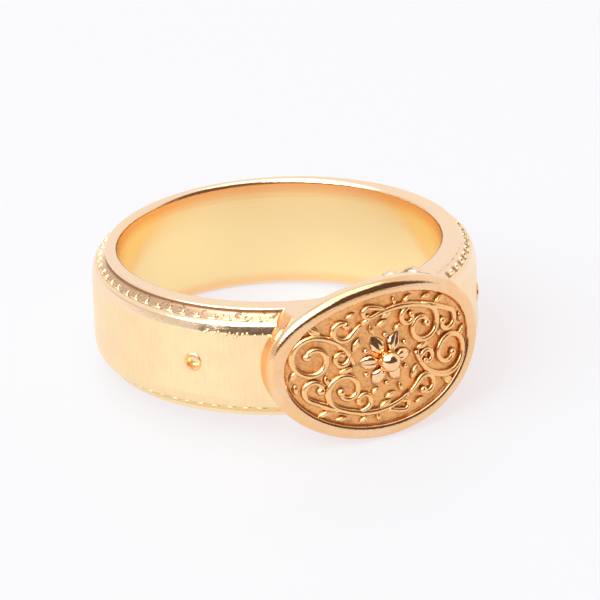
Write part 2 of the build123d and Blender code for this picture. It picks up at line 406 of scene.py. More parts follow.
def polished_gold(name, first, second, roughness):
    """Polished gold, worn and gently uneven, with a second tint where it is worn."""
    shader, point = new_gold(name)
    wear = shader.noise(point, 3.0, 3.0, 0.6)
    upright = shader.node("VectorMath", {0: point, 1: (1.0, 1.0, 9.0)}, operation="MULTIPLY")
    scratches = shader.noise(upright, 4.0)
    broad = shader.noise(point, 0.45)
    share = shader.step(wear, 0.45, 0.8) * 0.3 + shader.step(broad, 0.4, 0.7) * 0.4
    tint = shader.mix(share, first, second)
    return finish_gold(shader, tint, roughness + wear * 0.09, wear * 0.7 + scratches * 0.3, 0.012)


def solder_gold(finishes):
    """Gold of the solder knobs: lumpy, with brown film in its folds."""
    shader, point = new_gold("solder gold")
    folds = shader.noise(point, 1.6, 3.0, 0.6)
    film = shader.step(folds, 0.47, 0.56)
    tint = shader.mix(film * 0.75, finishes.rim, finishes.patina)
    return finish_gold(shader, tint, 0.16 + film * 0.25, folds, -0.12)


def saddle_gold(finishes, band):
    """Gold of the saddle: pale on its flat ends, redder on the wall between them."""
    shader, point = new_gold("saddle gold")
    x, y, z = shader.parts(point)
    wear = shader.noise(point, 3.0, 3.0, 0.6)
    end = shader.step(shader.math("ABSOLUTE", z), band.width / 2 - 0.25, band.width / 2 - 0.05)
    tint = shader.mix(end, finishes.eyelet, finishes.rim)
    return finish_gold(shader, tint, 0.16 + wear * 0.09, wear, 0.012)


def track_gold(finishes, band, sizes):
    """Gold of the stitch track: painted shade browns it at the upper left and darkens it between the
    stitches at the right, over brown patina in its pits.
    """
    shader, point = new_gold("stitch track gold")
    x, y, z = shader.parts(point)
    height = shader.math("ABSOLUTE", z)
    low, high = track_corners(band)
    # Painted shade in the corner under the rim step
    corner = shader.step(height, high[1] - 0.09, high[1] - 0.01)
    pits = shader.step(shader.noise(point, 3.2, 3.0, 0.6), 0.56, 0.66)
    right = shader.step(x, 1.0, 4.0)
    front = 1 - shader.step(y, 2.0, 5.0)
    upper = shader.step(z, -0.1, 0.1)
    # Painted shade: the upper left of the track's front is browned and darkened
    upper_left = upper * (1 - right) * front
    around = shader.math("ARCTAN2", x, 0 - outer_shift(band) - y)
    pitch = (tau - 2 * sizes.clear) / stitch_count(band, sizes)
    # Painted shade in the gaps between the stitches, on the right
    between = shader.math("COSINE", (around - sizes.clear) * (tau / pitch))
    gap = shader.step(between, 0.1, 0.8) * (1 - shader.step(height, low[1] + 0.2, low[1] + 0.32))
    # Darkening: patina in the pits, and painted shade in the corner, at the upper left and between
    # the stitches
    darkening = shader.math("MINIMUM", corner + pits * 0.8, 1.0) * (upper_left * 0.8 + 0.1)
    darkening = shader.math("MAXIMUM", darkening, gap * right * 0.9)
    base_tint = shader.mix(upper, finishes.face, finishes.rim)
    base_tint = shader.mix(upper_left, base_tint, finishes.track)
    tint = shader.mix(darkening * 0.85, base_tint, finishes.patina)
    return finish_gold(shader, tint, 0.2 + darkening * 0.35, pits * (upper_left * 0.8 + 0.2), -0.05)


def wall_gold(finishes, band):
    """Smooth gold of the finger hole, rubbed round and round, with painted reflection of the gold in
    itself: redder towards its edges, and deeper orange at its upper edge.
    """
    shader, point = new_gold("finger hole gold")
    x, y, z = shader.parts(point)
    around = shader.math("ARCTAN2", x, 0 - y)
    rubbing = shader.noise(shader.join(around * 2, z * 7, 1.0), 1.0, 3.0)
    edge = band.width / 2 - band.hole_round
    # Painted reflection: redder towards both edges
    redder = shader.step(shader.math("ABSOLUTE", z) + rubbing * 0.3, edge - 0.55, edge + 0.1)
    # Painted reflection: a deeper orange band along the upper edge
    upper = shader.step(z + rubbing * 0.5, edge - 0.75, edge + 0.2)
    tint = shader.mix(redder * 0.8, finishes.wall, finishes.relief)
    tint = shader.mix(upper * 0.75, tint, finishes.field)
    return finish_gold(shader, tint, 0.16 + rubbing * 0.1, rubbing, 0.004)


def field_gold(finishes):
    """Sunken field: stippled, with an orange-brown film."""
    shader, point = new_gold("stippled field gold")
    stipple = shader.noise(point, 6.0, 2.0, 0.6)
    film = shader.noise(point, 1.1)
    darkening = shader.step(film * 0.4 + (1 - stipple) * 0.6, 0.42, 0.66)
    tint = shader.mix(darkening * 0.22, finishes.field, finishes.patina)
    return finish_gold(shader, tint, 0.3 + darkening * 0.2, stipple, 0.035)


def relief_gold(name, tint, roughness, finishes, plate):
    """Raised work in the field: bright on top, with painted shade darkening it at its roots."""
    shader, point = new_gold(name)
    x, y, z = shader.parts(point)
    from_axis = y - plate_axis(plate)
    lift = shader.math("SQRT", x * x + from_axis * from_axis) - plate.bend
    # Painted shade in the crevices where the relief meets the field, varied by wear
    root = 1 - shader.step(lift, -plate.field_depth, -plate.field_depth + 0.16)
    wear = shader.noise(point, 4.0)
    tint = shader.mix(root * (0.6 + wear * 0.4), tint, finishes.patina)
    return finish_gold(shader, tint, roughness + wear * 0.1 + root * 0.2, wear, 0.015)


def add_object(name, data):
    """Puts a new object into the scene."""
    made = bpy.data.objects.new(name, data)
    bpy.context.scene.collection.objects.link(made)
    return made


def add_mesh(name, bm, *materials):
    """Puts a finished mesh into the scene."""
    mesh = bpy.data.meshes.new(name)
    bm.to_mesh(mesh)
    bm.free()
    for material in materials:
        mesh.materials.append(material)
    return add_object(name, mesh)


def add_piece(name, bm, *materials):
    """Smooths a closed mesh and sets it in its place, as a piece that stands for the solid."""
    bmesh.ops.recalc_face_normals(bm, faces=bm.faces)
    for face in bm.faces:
        face.smooth = True
    bmesh.ops.transform(bm, matrix=PLACE, verts=bm.verts)
    piece = add_mesh(name, bm, *materials)
    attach(piece, "root")
    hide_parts("belt_ring")
    return piece


# Edges that turn by more than this stay sharp
SHARP_EDGE = radians(38)


def crisp(piece):
    """Keeps flat faces flat beside their rounded edges, and sharp edges sharp."""
    piece.data.set_sharp_from_angle(angle=SHARP_EDGE)
    piece.modifiers.new("Weighted normals", "WEIGHTED_NORMAL").keep_sharp = True


def only(kind, geom):
    """The items of one kind among mixed ones."""
    return [item for item in geom if isinstance(item, kind)]


def edges_of(verts):
    """All edges that meet some points."""
    return list({edge for vert in verts for edge in vert.link_edges})


def extrude(bm, ring):
    """Extrudes a ring of edges in place. Returns the new points and edges."""
    made = bmesh.ops.extrude_edge_only(bm, edges=ring)["geom"]
    return only(bmesh.types.BMVert, made), only(bmesh.types.BMEdge, made)


def ball(bm, place, radius, sides, rings):
    """Ball whose poles lie along the Z of a place. Returns its points."""
    return bmesh.ops.create_uvsphere(
        bm, u_segments=sides, v_segments=rings, radius=radius, matrix=place
    )["verts"]


BAND_STEPS = 360
FACE_ROWS = 12
ROUND_STEPS = 6


def round_wire(bm, corners, shift):
    """Wire in front of the finger hole through (radius, height, rounding) corners."""
    points = [bm.verts.new((0, -shift - radius, height)) for radius, height, _ in corners]
    for pair in zip(points, points[1:]):
        bm.edges.new(pair)
    for point, (_, _, rounding) in zip(points, corners):
        if rounding:
            bmesh.ops.bevel(
                bm, geom=[point], offset=rounding, offset_type="OFFSET", segments=ROUND_STEPS,
                profile=0.5, affect="VERTICES", material=-1,
            )


def turn_round(bm, geom, shift):
    """Turns a wire once round the axis of the band."""
    bmesh.ops.spin(
        bm, geom=geom, cent=(0, -shift, 0), axis=UP, angle=tau, steps=BAND_STEPS, use_merge=True
    )


def outer_radius(band):
    """Radius of the band's outside, round an axis of its own."""
    return band.finger_radius + (band.front_wall + band.back_wall) / 2


def outer_shift(band):
    """How far the band's outside is set forward of the finger hole."""
    return (band.front_wall - band.back_wall) / 2


def track_corners(band):
    """Low and high end of the stitch track, as (radius, height)."""
    high = band.width / 2 - band.rim_round - band.rim_step
    radius = outer_radius(band)
    low_radius = radius - band.shoulder
    return (low_radius, high - band.track_rise), (radius - band.track_drop, high)


def band_outside(bm, band):
    """The band's outside, from rim to rim, with both stitch tracks."""
    half = band.width / 2
    radius = outer_radius(band)
    low, high = track_corners(band)
    ridge = low[1] - band.ridge_rise
    corners = (
        (radius, 0, 0),
        (radius, ridge - band.bevel_rise, band.ridge_round / 2),
        (radius - band.bevel_drop, ridge, band.ridge_round),
        (*low, 0),
        (*high, 0),
        (high[0], half, band.rim_round),
        (high[0] - band.rim_round - 0.01, half, 0),
    )
    round_wire(bm, corners, outer_shift(band))
    bm.edges.ensure_lookup_table()
    face = max(bm.edges, key=lambda edge: edge.calc_length())
    bmesh.ops.subdivide_edges(bm, edges=[face], cuts=FACE_ROWS - 1)
    geom = bm.verts[:] + bm.edges[:]
    bmesh.ops.mirror(bm, geom=geom, matrix=Matrix.Identity(4), merge_dist=1e-4, axis="Z")
    turn_round(bm, bm.verts[:] + bm.edges[:], outer_shift(band))


def bevel_foot(band):
    """Height of the lower edge of the upper bevel."""
    low, high = track_corners(band)
    return low[1] - band.ridge_rise - band.bevel_rise


# How quickly the nicks follow each other round the band
NICKS_PER_RADIAN = 24


def wear_bevel(bm, band, wear):
    """Nicks the foot of the upper bevel, most of all at the left of the plate."""
    foot = bevel_foot(band)
    for vert in bm.verts:
        if abs(vert.co.z - foot) < wear.reach:
            angle = atan2(-vert.co.x, -vert.co.y)
            beside = exp(-(((angle - wear.centre) / wear.spread) ** 2))
            ragged = noise.noise(Vector((angle * NICKS_PER_RADIAN, 0.5, 0.5)))
            vert.co.z += wear.depth * (0.15 + beside) * ragged


def finger_wall(bm, band):
    """The wall of the finger hole, with both its rounded edges."""
    half = band.width / 2
    mouth = band.finger_radius + band.hole_round + 0.005
    before = set(bm.verts)
    corners = (
        (mouth, half, 0),
        (band.finger_radius, half, band.hole_round),
        (band.finger_radius, -half, band.hole_round),
        (mouth, -half, 0),
    )
    round_wire(bm, corners, 0)
    new = [vert for vert in bm.verts if vert not in before]
    turn_round(bm, new + edges_of(new), 0)


def close_rims(bm):
    """Bridges the outside and the finger wall at both rims."""
    for side in (1, -1):
        rim = [edge for edge in bm.edges if edge.is_boundary and edge.verts[0].co.z * side > 0]
        bmesh.ops.bridge_loops(bm, edges=rim)


def outer_reach(band, angle):
    """Distance from the finger hole's axis to the band's face, at an angle from the plate."""
    across = outer_shift(band) * sin(angle)
    return outer_shift(band) * cos(angle) + sqrt(outer_radius(band) ** 2 - across**2)


# A belt hole takes the place of this many faces of the band each way from its middle. The
# points of the band are looked for within the reach, and the margin is the flat round the lip.
EYELET_HALF_STEPS = 4
EYELET_REACH = 1.3
EYELET_MARGIN = 0.03


def punch_eyelet(bm, band, eyelet, side):
    """Raised lip and blind hole in the band's face, at one side of the plate."""
    angle = eyelet.angle * side
    turned = Matrix.Rotation(angle, 4, "Z")
    centre = turned @ Vector((0, -outer_reach(band, angle), 0))
    out = turned.to_3x3() @ Vector(TO_VIEWER)
    along = turned.to_3x3() @ Vector((1, 0, 0))
    near = [
        vert for vert in bm.verts
        if (vert.co - centre).length < EYELET_REACH
        and vert.co.xy.length > band.finger_radius + 1
    ]
    middle = min(near, key=lambda vert: (vert.co - centre).length).co.copy()
    across = outer_radius(band) * tau / BAND_STEPS * (EYELET_HALF_STEPS + 0.25)
    heights = [vert.co.z - middle.z for vert in near]
    up = min(height for height in heights if height > 0.05) * (EYELET_HALF_STEPS + 0.25)
    block = {
        vert for vert in near
        if abs((vert.co - middle).dot(along)) < across and abs(vert.co.z - middle.z) < up
    }
    faces = [face for face in bm.faces if block.issuperset(face.verts)]
    bmesh.ops.delete(bm, geom=faces, context="FACES")
    hole = [edge for edge in bm.edges if edge.is_boundary]
    flat = Matrix.Translation(centre) @ turned @ FACING
    lip = eyelet.radius + eyelet.lip
    radius = lip + EYELET_MARGIN
    made = bmesh.ops.create_circle(bm, segments=8 * EYELET_HALF_STEPS, radius=radius, matrix=flat)
    ring = edges_of(made["verts"])
    bmesh.ops.bridge_loops(bm, edges=hole + ring)
    height = 0.0
    rows = (
        (lip, eyelet.rise * 0.35),
        (lip - EYELET_MARGIN, eyelet.rise * 0.9),
        (eyelet.radius + eyelet.lip / 2, eyelet.rise),
        (eyelet.radius + 0.02, eyelet.rise * 0.8),
        (eyelet.radius, 0.0),
        (eyelet.radius * 0.96, -eyelet.depth * 0.45),
        (eyelet.radius * 0.8, -eyelet.depth * 0.8),
        (eyelet.radius * 0.45, -eyelet.depth * 0.98),
    )
    for wide, lift in rows:
        ring = draw_on(bm, ring, wide / radius, out * (lift - height))
        radius, height = wide, lift
    bmesh.ops.contextual_create(bm, geom=ring)


def eyelet_distance(point, eyelet):
    """Distance of a point from the middle line of the nearer belt hole."""
    turned_back = Matrix.Rotation(-copysign(eyelet.angle, point.x), 3, "Z")
    return (turned_back @ point).xz.length


def draw_on(bm, ring, share, move):
    """Extrudes a closed ring of edges, scales it about its middle and moves it."""
    verts, edges = extrude(bm, ring)
    middle = sum((vert.co for vert in verts), Vector()) / len(verts)
    bmesh.ops.scale(bm, vec=(share,) * 3, space=Matrix.Translation(-middle), verts=verts)
    bmesh.ops.translate(bm, vec=move, verts=verts)
    return edges


BAND_FINISHES = ("face", "rim", "track", "wall", "eyelet")

# How far the centre of a face may lie off the surface that it belongs to
SLACK = 0.02


def band_finish(centre, band, eyelet):
    """Which of the band's finishes a face with that centre has."""
    if centre.xy.length < band.finger_radius + SLACK:
        return "wall"
    from_eyelet = eyelet_distance(centre, eyelet)
    if from_eyelet < eyelet.radius + eyelet.lip + SLACK:
        return "eyelet" if from_eyelet > eyelet.radius * 0.97 else "face"
    low, high = track_corners(band)
    height = abs(centre.z)
    from_axis = (centre.xy + Vector((0, outer_shift(band)))).length
    if height > high[1] + band.rim_step + SLACK / 2 or from_axis < high[0] - SLACK:
        return "rim"
    if height > low[1] + SLACK / 2:
        return "track"
    return "rim" if centre.z > bevel_foot(band) else "face"


class AddBand(bpy.types.Operator):
    """Makes the band with its stitch tracks, finger hole and belt holes."""

    bl_idname = "mesh.belt_ring_band"
    bl_label = "Band"

    def execute(self, context):
        band, wear, eyelet = sizes_of(context, "band", "wear", "eyelet")
        sizes, finishes = sizes_of(context, "stitch", "finishes")
        bm = bmesh.new()
        band_outside(bm, band)
        wear_bevel(bm, band, wear)
        finger_wall(bm, band)
        close_rims(bm)
        for side in (1, -1):
            punch_eyelet(bm, band, eyelet, side)
        for face in bm.faces:
            finish = band_finish(face.calc_center_median(), band, eyelet)
            face.material_index = BAND_FINISHES.index(finish)
        piece = add_piece(
            "band", bm, brushed_face_gold(finishes),
            polished_gold("polished rim gold", finishes.rim, finishes.face, 0.12),
            track_gold(finishes, band, sizes), wall_gold(finishes, band),
            polished_gold("eyelet gold", finishes.eyelet, finishes.rim, 0.2),
        )
        crisp(piece)
        return {"FINISHED"}


def capsule(bm, place, reach, radius):
    """Rounded bar along X at a place. Its length is reach, ends included."""
    made = ball(bm, LYING, radius, 8, 6)
    for vert in made:
        if abs(vert.co.x) > radius * 0.05:
            vert.co.x += copysign(reach / 2 - radius, vert.co.x)
    bmesh.ops.transform(bm, matrix=place, verts=made)


# How far up the slope of the track the dashes lie, as a share of it
DASH_CLIMB = 0.14


def on_track(band, angle):
    """Place on the upper stitch track: X runs round the band, Y up the slope, Z out of it."""
    low, high = track_corners(band)
    slope = atan2(high[1] - low[1], low[0] - high[0])
    radius = low[0] + (high[0] - low[0]) * DASH_CLIMB
    height = low[1] + (high[1] - low[1]) * DASH_CLIMB
    return (
        Matrix.Translation((0, -outer_shift(band), 0))
        @ Matrix.Rotation(angle, 4, "Z")
        @ Matrix.Translation((0, -radius, height))
        @ Matrix.Rotation(slope, 4, "X")
    )


def stitch_count(band, sizes):
    """How many stitches go round one track."""
    run = (tau - 2 * sizes.clear) * track_corners(band)[0][0]
    return round(run / sizes.pitch)


def stitch(bm, place, sizes, thread, chance):
    """One worn stitch: a dash along the track and a tick that climbs from it."""
    reach = sizes.dash * chance.uniform(0.82, 1.12)
    thick = thread * chance.uniform(0.85, 1.1)
    lean = Matrix.Rotation(radians(chance.uniform(-4, 4)), 4, "Z")
    capsule(bm, place @ lean, reach, thick)
    start = Matrix.Translation((reach * chance.uniform(0.08, 0.22), sizes.tick * 0.42, 0))
    climb = Matrix.Rotation(radians(chance.uniform(80, 112)), 4, "Z")
    capsule(bm, place @ start @ climb, sizes.tick * chance.uniform(0.8, 1.1), thick * 0.9)


class AddStitches(bpy.types.Operator):
    """Makes the row of raised stitches along each edge of the band."""

    bl_idname = "mesh.belt_ring_stitches"
    bl_label = "Stitches"

    def execute(self, context):
        band, sizes, finishes = sizes_of(context, "band", "stitch", "finishes")
        chance = Random(7)
        bm = bmesh.new()
        count = stitch_count(band, sizes)
        for edge, thread in ((0, sizes.thread), (pi, sizes.lower_thread)):
            turned_over = Matrix.Rotation(edge, 4, "Y")
            for number in range(count):
                share = (number + 0.5 + chance.uniform(-0.05, 0.05)) / count
                angle = sizes.clear + (tau - 2 * sizes.clear) * share
                stitch(bm, turned_over @ on_track(band, angle), sizes, thread, chance)
        gold = polished_gold("stitch gold", finishes.face, finishes.relief, 0.16)
        add_piece("stitches", bm, gold)
        return {"FINISHED"}


class AddGrains(bpy.types.Operator):
    """Makes the tiny grains of gold that cling to the bevel at the left of the plate."""

    bl_idname = "mesh.belt_ring_grains"
    bl_label = "Grains"

    def execute(self, context):
        band, wear, finishes = sizes_of(context, "band", "wear", "finishes")
        chance = Random(3)
        bm = bmesh.new()
        for _ in range(wear.grains):
            angle = -wear.centre - wear.spread * chance.uniform(-1, 1)
            radius = wear.grain * chance.uniform(0.45, 1)
            height = bevel_foot(band) + chance.uniform(-1, 0.6) * wear.depth
            out = Matrix.Rotation(angle, 4, "Z")
            place = out @ Matrix.Translation((0, -outer_reach(band, angle), height))
            ball(bm, place, radius, 8, 6)
        gold = polished_gold("grain gold", finishes.face, finishes.relief, 0.12)
        add_piece("grains", bm, gold)
        return {"FINISHED"}


def plate_axis(plate):
    """The y of the axis that the plate is bent about."""
    (band,) = sizes_of(bpy.context, "band")
    return plate.bend - (band.finger_radius + band.front_wall - plate.seat + plate.thickness)


def roll_bend(bm, plate):
    """Bends flat work round the plate's axis. X is the length along the bend, -Y the lift."""
    for vert in bm.verts:
        turn = vert.co.x / plate.bend
        reach = plate.bend - vert.co.y
        vert.co.x = reach * sin(turn)
        vert.co.y = plate_axis(plate) - reach * cos(turn)


def press_bend(bm, plate):
    """Presses flat work back onto the plate's bend. Its front view stays as it was drawn."""
    for vert in bm.verts:
        reach = plate.bend - vert.co.y
        vert.co.y = plate_axis(plate) - sqrt(reach**2 - vert.co.x**2)


def arc_length(plate, half_width):
    """Half length along the bend of what is half_width wide in the front view."""
    return plate.bend * asin(half_width / plate.bend)


def field_half(plate):
    """Half width and half height of the field in the front view."""
    return plate.width / 2 - plate.rim_sides, plate.height / 2 - plate.rim_top


OVAL_STEPS = 200


def oval_rows(bm, rows):
    """Closed oval block through (half length, half height, lift) rows, from back to front."""
    last = rows[0]
    start = Matrix.Translation((0, -last[2], 0)) @ Matrix.Diagonal((last[0], 1, last[1], 1))
    made = bmesh.ops.create_circle(
        bm, cap_ends=True, cap_tris=True, segments=OVAL_STEPS, radius=1, matrix=FACING
    )["verts"]
    bmesh.ops.transform(bm, matrix=start, verts=made)
    ring = [edge for edge in bm.edges if edge.is_boundary]
    for row in rows[1:]:
        verts, ring = extrude(bm, ring)
        bmesh.ops.scale(bm, vec=(row[0] / last[0], 1, row[1] / last[1]), verts=verts)
        bmesh.ops.translate(bm, vec=(0, last[2] - row[2], 0), verts=verts)
        last = row
    verts, _ = extrude(bm, ring)
    bmesh.ops.pointmerge(bm, verts=verts, merge_co=(0, -last[2], 0))


def quarter(start, end, steps, outward):
    """Quarter round between two (inset, lift) points. Outward says which way it starts."""
    points = []
    for number in range(1, steps + 1):
        turn = pi / 2 * number / steps
        first, second = (1 - cos(turn), sin(turn)) if outward else (sin(turn), 1 - cos(turn))
        inset = start[0] + (end[0] - start[0]) * first
        points.append((inset, start[1] + (end[1] - start[1]) * second))
    return points


PLATE_FINISHES = ("rim", "field", "side")

# Rings of the plate's back, from its middle outwards, and of its field, inwards, as shares of
# the way from the middle to the edge
BACK_RINGS = (0.02, 0.3, 0.6, 0.85)
FIELD_RINGS = (0.93, 0.85, 0.7, 0.55, 0.4, 0.25, 0.1, 0.02)


def plate_rows(plate):
    """Rows of the plate's section, from the middle of its back to the middle of its field."""
    long = arc_length(plate, plate.width / 2)
    high = plate.height / 2
    field_width, field_high = field_half(plate)
    field_long = arc_length(plate, field_width)
    back = -plate.thickness
    floor = -plate.field_depth
    lip = plate.lip_round
    rows = [(long * share, high * share, back) for share in BACK_RINGS]
    edge = [(plate.back_round, back)]
    edge += quarter(edge[-1], (0, back + plate.back_round), 6, False)
    edge += [(0, -plate.front_round)]
    edge += quarter(edge[-1], (plate.front_round, -0.012), 8, True)
    edge += [(plate.front_round + 0.14, 0.0)]
    rows += [(long - inset, high - inset, lift) for inset, lift in edge]
    inner = [(-lip - 0.16, 0.0), (-lip, -0.008)]
    inner += quarter(inner[-1], (0.0, -0.008 - lip), 5, False)
    inner += [(0.015, floor + 0.06)]
    inner += quarter(inner[-1], (0.08, floor), 3, True)
    rows += [(field_long - inset, field_high - inset, lift) for inset, lift in inner]
    return rows + [(field_long * share, field_high * share, floor) for share in FIELD_RINGS]


class AddPlate(bpy.types.Operator):
    """Makes the bent oval plate, with its smooth rim and sunken field."""

    bl_idname = "mesh.belt_ring_plate"
    bl_label = "Oval plate"

    def execute(self, context):
        plate, finishes = sizes_of(context, "plate", "finishes")
        bm = bmesh.new()
        oval_rows(bm, plate_rows(plate))
        field_width, field_high = field_half(plate)
        field_long = arc_length(plate, field_width)
        for face in bm.faces:
            x, y, z = face.calc_center_median()
            inside = (x / field_long) ** 2 + (z / field_high) ** 2 < 1.0
            sunken = inside and plate.lip_round < y < plate.field_depth + 0.1
            behind = y > plate.front_round * 0.9 and not sunken
            kind = "field" if sunken else "side" if behind else "rim"
            face.material_index = PLATE_FINISHES.index(kind)
        roll_bend(bm, plate)
        piece = add_piece(
            "plate", bm, polished_gold("plate rim gold", finishes.plate_rim, finishes.rim, 0.05),
            field_gold(finishes),
            polished_gold("plate side gold", finishes.rim, finishes.face, 0.1),
        )
        crisp(piece)
        return {"FINISHED"}


# The saddle starts this far outside the finger hole, and its flat ends, which are flush with
# the band in the solid, stay this far under the band's surface.
SADDLE_START = 0.1
SADDLE_STEPS = 96
FLUSH = 0.006


class AddSaddle(bpy.types.Operator):
    """Makes the seat that fills the space between the band and the plate."""

    bl_idname = "mesh.belt_ring_saddle"
    bl_label = "Saddle"

    def execute(self, context):
        plate, band, finishes = sizes_of(context, "plate", "band", "finishes")
        start = Matrix.Translation((0, -band.finger_radius - SADDLE_START, 0))
        oval = Matrix.Diagonal((plate.saddle_width / 2, 1, plate.saddle_height / 2, 1))
        flat = start @ oval @ FACING
        reach = plate.bend - plate.thickness + plate.saddle_bite
        half = band.width / 2 - FLUSH
        bm = bmesh.new()
        bmesh.ops.create_circle(bm, cap_ends=True, segments=SADDLE_STEPS, radius=1, matrix=flat)
        for side in (1, -1):
            bmesh.ops.bisect_plane(
                bm, geom=bm.verts[:] + bm.edges[:] + bm.faces[:],
                plane_co=(0, 0, half * side), plane_no=(0, 0, side), clear_outer=True,
            )
        made = bmesh.ops.extrude_face_region(bm, geom=bm.faces[:])["geom"]
        for vert in only(bmesh.types.BMVert, made):
            vert.co.y = plate_axis(plate) - sqrt(reach**2 - vert.co.x**2)
        bmesh.ops.triangulate(bm, faces=[face for face in bm.faces if len(face.verts) > 4])
        crisp(add_piece("saddle", bm, saddle_gold(finishes, band)))
        return {"FINISHED"}


STEM_SIDES = 12
STEM_STEP = 8


def stem_section(bm, point, heading, depth, radius, bottom):
    """Ring across a stem at its start: a round top on straight sides that reach its root."""
    across = Matrix.Rotation(radians(heading), 4, TO_VIEWER) @ LYING
    place = Matrix.Translation((point.x, depth, point.y)) @ across
    made = bmesh.ops.create_circle(bm, segments=STEM_SIDES, radius=radius, matrix=place)["verts"]
    for vert in made:
        if vert.co.y > depth + radius * 0.1:
            share = (vert.co.y - depth) / radius
            vert.co.y = depth + (bottom - depth) * share
    return edges_of(made)


def swell(share):
    """Width of a stem along its length: a thin start, a full back and a fine end."""
    return 0.66 + 0.54 * min(share / 0.25, 1.0) - 0.3 * max(share - 0.25, 0.0)


def draw_stem(bm, scroll, scale, wide, plate, relief):
    """Draws a stem along its arcs and returns where it ends."""
    point = Vector((scroll.x * scale[0], scroll.z * scale[1]))
    heading = scroll.heading
    depth = relief.below_rim + wide / 2
    ring = stem_section(bm, point, heading, depth, wide / 2, plate.field_depth + relief.root)
    bmesh.ops.contextual_create(bm, geom=ring)
    total = sum(radius * radians(abs(turn)) for radius, turn in scroll.arcs)
    done = 0.0
    width = 1.0
    for radius, turn in scroll.arcs:
        towards = radians(heading + copysign(90, turn))
        centre = point + Vector((cos(towards), sin(towards))) * radius * scale[1]
        steps = ceil(abs(turn) / STEM_STEP)
        step_turn = radians(turn / steps)
        matrix = Matrix.Rotation(step_turn, 3, TO_VIEWER)
        for _ in range(steps):
            verts, ring = extrude(bm, ring)
            bmesh.ops.rotate(bm, verts=verts, cent=(centre.x, 0, centre.y), matrix=matrix)
            point = centre + Matrix.Rotation(step_turn, 2) @ (point - centre)
            done += radius * abs(step_turn)
            share = swell(done / total) / width
            width = swell(done / total)
            middle = Matrix.Translation((-point.x, -depth, -point.y))
            bmesh.ops.scale(bm, vec=(share,) * 3, space=middle, verts=verts)
        heading += turn
    bmesh.ops.contextual_create(bm, geom=ring)
    return point


def bead(bm, x, z, lift, radius, sides=20):
    """Ball whose centre is at a lift over the rim's surface."""
    place = Matrix.Translation((x, -lift, z)) @ FACING
    ball(bm, place, radius, sides, sides // 2 + 2)


# Widths as shares: a leaf's of its length, a vein's of its leaf. Depths of the veins in mm.
LEAF_WIDTH = 0.46
VEIN_WIDTH = 0.22
LEAF_VEIN = 0.3
PETAL_VEIN = 0.25


def blade(bm, place, reach, wide, top, root, vein, sides=20):
    """Pointed leaf or petal along X from a place, with a vein pressed down its middle."""
    made = ball(bm, LYING, 1, sides, sides)
    for vert in made:
        along, out, across = vert.co
        narrow = sqrt(max(1 - along**2, 0.0))
        share = (along + 1) / 2
        if out < 0:
            rise = -out - vein * exp(-((across / VEIN_WIDTH) ** 2)) * narrow
            lift = root[0] + (top(share) - root[0]) * rise
        else:
            lift = root[0] - (root[0] - root[1]) * out
        vert.co = (reach * share, -lift, wide / 2 * across * narrow)
    bmesh.ops.transform(bm, matrix=place, verts=made)


def flat_place(x, z, heading):
    """Place in the flat front view, with X along the heading."""
    return Matrix.Translation((x, 0, z)) @ Matrix.Rotation(radians(heading), 4, TO_VIEWER)


class AddScrollwork(bpy.types.Operator):
    """Makes the stems, leaves and berries of both halves of the field."""

    bl_idname = "mesh.belt_ring_scrollwork"
    bl_label = "Scrollwork"

    def execute(self, context):
        plate, relief, finishes = sizes_of(context, "plate", "relief", "finishes")
        scale = field_half(plate)
        root = (-plate.field_depth, -plate.field_depth - relief.root)
        bm = bmesh.new()
        for scroll in SCROLLS.values():
            end = draw_stem(bm, scroll, scale, relief.stem, plate, relief)
            bead(bm, end.x, end.y, relief.berry_lift - relief.berry, relief.berry)
        for scroll in TENDRILS.values():
            end = draw_stem(bm, scroll, scale, relief.tendril, plate, relief)
            bead(bm, end.x, end.y, -relief.small_berry - relief.below_rim, relief.small_berry)
        for leaf in LEAVES + SMALL_LEAVES:
            reach = leaf.length * scale[1]
            wide = reach * LEAF_WIDTH
            place = flat_place(leaf.x * scale[0], leaf.z * scale[1], leaf.heading)
            blade(bm, place, reach, wide, lambda share: -relief.below_rim, root, LEAF_VEIN)
        copied = bmesh.ops.duplicate(bm, geom=bm.verts[:] + bm.edges[:] + bm.faces[:])["geom"]
        verts = only(bmesh.types.BMVert, copied)
        bmesh.ops.rotate(bm, verts=verts, cent=(0, 0, 0), matrix=Matrix.Rotation(pi, 3, "Y"))
        press_bend(bm, plate)
        gold = relief_gold("scrollwork gold", finishes.relief, 0.2, finishes, plate)
        add_piece("scrollwork", bm, gold)
        return {"FINISHED"}


class AddRosette(bpy.types.Operator):
    """Makes the petals, the dew between them and the boss in the middle."""

    bl_idname = "mesh.belt_ring_rosette"
    bl_label = "Rosette"

    def execute(self, context):
        plate, relief, finishes = sizes_of(context, "plate", "relief", "finishes")
        root = (-plate.field_depth, -plate.field_depth - relief.root)

        def dome(share):
            from_middle = relief.petal_start + relief.petal_length * share
            return relief.dome_lift - relief.dome + sqrt(relief.dome**2 - from_middle**2)

        bm = bmesh.new()
        for number in range(relief.petals):
            turn = 360 * number / relief.petals
            place = flat_place(0, 0, turn) @ Matrix.Translation((relief.petal_start, 0, 0))
            blade(bm, place, relief.petal_length, relief.petal_width, dome, root, PETAL_VEIN, 32)
            between = radians(turn + 180 / relief.petals)
            bead(
                bm, relief.dew_ring * cos(between), relief.dew_ring * sin(between),
                relief.dew / 2 - plate.field_depth, relief.dew, 16,
            )
        bead(bm, 0, 0, relief.boss_lift, relief.boss, 48)
        press_bend(bm, plate)
        gold = relief_gold("rosette gold", finishes.rosette, 0.06, finishes, plate)
        add_piece("rosette", bm, gold)
        return {"FINISHED"}


# A knob is uneven: its hollows are this deep, as a share of its radius
KNOB_HOLLOW = 0.06
LUMPS_PER_MM = 3


